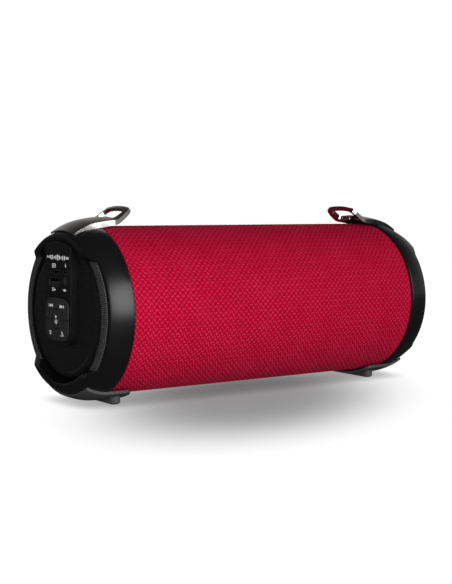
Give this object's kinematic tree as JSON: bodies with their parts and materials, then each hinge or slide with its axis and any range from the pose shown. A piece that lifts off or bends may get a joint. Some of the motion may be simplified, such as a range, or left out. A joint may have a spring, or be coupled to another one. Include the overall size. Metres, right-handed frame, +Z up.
{
  "type": "portable tube speaker",
  "caption": "Portable tube speaker with a woven fabric sleeve, moulded end caps, mesh grilles, a control panel and chrome strap brackets.",
  "frame": {"origin": "centre of the bounding box in plan, on the surface that the speaker stands on", "axes": "+X along the tube towards the plain end, +Y to the back, +Z up; the front faces -Y and the control panel is at the -X end"},
  "size_m": [0.2938, 0.1152, 0.1304],
  "materials": {
    "satin_black_plastic": "satin moulded",
    "ribbed_black_plastic": "fine ribs",
    "black_grille_mesh": "perforated, powder coated",
    "crimson_woven_fabric": "woven speaker cloth",
    "bright_chrome": "polished",
    "black_rubber": "matt",
    "surround_rubber": "matt",
    "driver_paper": "pressed fibre",
    "key_silicone": "soft touch",
    "keypad_silicone": "matt",
    "zinc_steel": "zinc plated",
    "pressed_steel": "pressed",
    "socket_steel": "nickel plated",
    "ferrite": "ground",
    "green_board": "solder mask",
    "inner_plastic": "as moulded",
    "jack_plastic": "as moulded",
    "cell_wrap": "shrink wrap",
    "lead_insulation": "flexible insulation"
  },
  "bodies": {
    "housing": {"left_cap": "satin_black_plastic", "left_foot_holder": "satin_black_plastic", "right_cap": "satin_black_plastic", "right_foot_holder": "satin_black_plastic", "control_panel": "satin_black_plastic", "left_trim_front": "ribbed_black_plastic", "left_trim_rear": "ribbed_black_plastic", "right_trim_front": "ribbed_black_plastic", "right_trim_rear": "ribbed_black_plastic", "left_grille": "black_grille_mesh", "right_grille": "black_grille_mesh", "fabric_sleeve": "crimson_woven_fabric", "left_strap_bracket": "bright_chrome", "right_strap_bracket": "bright_chrome", "left_foot_pad": "black_rubber", "right_foot_pad": "black_rubber", "left_driver_surround": "surround_rubber", "right_driver_surround": "surround_rubber", "left_driver_spider": "driver_paper", "right_driver_spider": "driver_paper", "keypad_mat": "keypad_silicone", "left_bracket_screw": "zinc_steel", "left_driver_screw_1": "zinc_steel", "left_driver_screw_2": "zinc_steel", "left_driver_screw_3": "zinc_steel", "left_driver_screw_4": "zinc_steel", "right_bracket_screw": "zinc_steel", "right_driver_screw_1": "zinc_steel", "right_driver_screw_2": "zinc_steel", "right_driver_screw_3": "zinc_steel", "right_driver_screw_4": "zinc_steel", "left_driver_frame": "pressed_steel", "right_driver_frame": "pressed_steel", "usb_socket": "socket_steel", "card_socket": "socket_steel", "charge_socket": "socket_steel", "left_driver_magnet": "ferrite", "right_driver_magnet": "ferrite", "key_board": "green_board", "port_board": "green_board", "main_board": "green_board", "body_tube": "inner_plastic", "equipment_tray": "inner_plastic", "battery_holder": "inner_plastic", "left_baffle": "inner_plastic", "right_baffle": "inner_plastic", "audio_jack": "jack_plastic", "battery_cell_1": "cell_wrap", "battery_cell_2": "cell_wrap", "battery_lead": "lead_insulation", "left_driver_lead": "lead_insulation", "right_driver_lead": "lead_insulation", "panel_lead": "lead_insulation"},
    "key_previous": {"key_previous": "key_silicone"},
    "key_next": {"key_next": "key_silicone"},
    "key_mode": {"key_mode": "key_silicone"},
    "key_pair": {"key_pair": "key_silicone"},
    "key_play": {"key_play": "key_silicone"},
    "left_cone": {"left_driver_cone": "driver_paper"},
    "right_cone": {"right_driver_cone": "driver_paper"}
  },
  "joints": [
    {"name": "press_previous", "type": "slide", "parent": "housing", "child": "key_previous", "axis": [1, 0, 0], "range_m": [0, 0.0008], "stiffness_N_per_m": 600, "springref_m": -0.0005},
    {"name": "press_next", "type": "slide", "parent": "housing", "child": "key_next", "axis": [1, 0, 0], "range_m": [0, 0.0008], "stiffness_N_per_m": 600, "springref_m": -0.0005},
    {"name": "press_mode", "type": "slide", "parent": "housing", "child": "key_mode", "axis": [1, 0, 0], "range_m": [0, 0.0008], "stiffness_N_per_m": 600, "springref_m": -0.0005},
    {"name": "press_pair", "type": "slide", "parent": "housing", "child": "key_pair", "axis": [1, 0, 0], "range_m": [0, 0.0008], "stiffness_N_per_m": 600, "springref_m": -0.0005},
    {"name": "press_play", "type": "slide", "parent": "housing", "child": "key_play", "axis": [1, 0, 0], "range_m": [0, 0.0008], "stiffness_N_per_m": 600, "springref_m": -0.0005},
    {"name": "left_cone_stroke", "type": "slide", "parent": "housing", "child": "left_cone", "axis": [-1, 0, 0], "range_m": [-0.002, 0.002], "stiffness_N_per_m": 1200},
    {"name": "right_cone_stroke", "type": "slide", "parent": "housing", "child": "right_cone", "axis": [1, 0, 0], "range_m": [-0.002, 0.002], "stiffness_N_per_m": 1200}
  ]
}
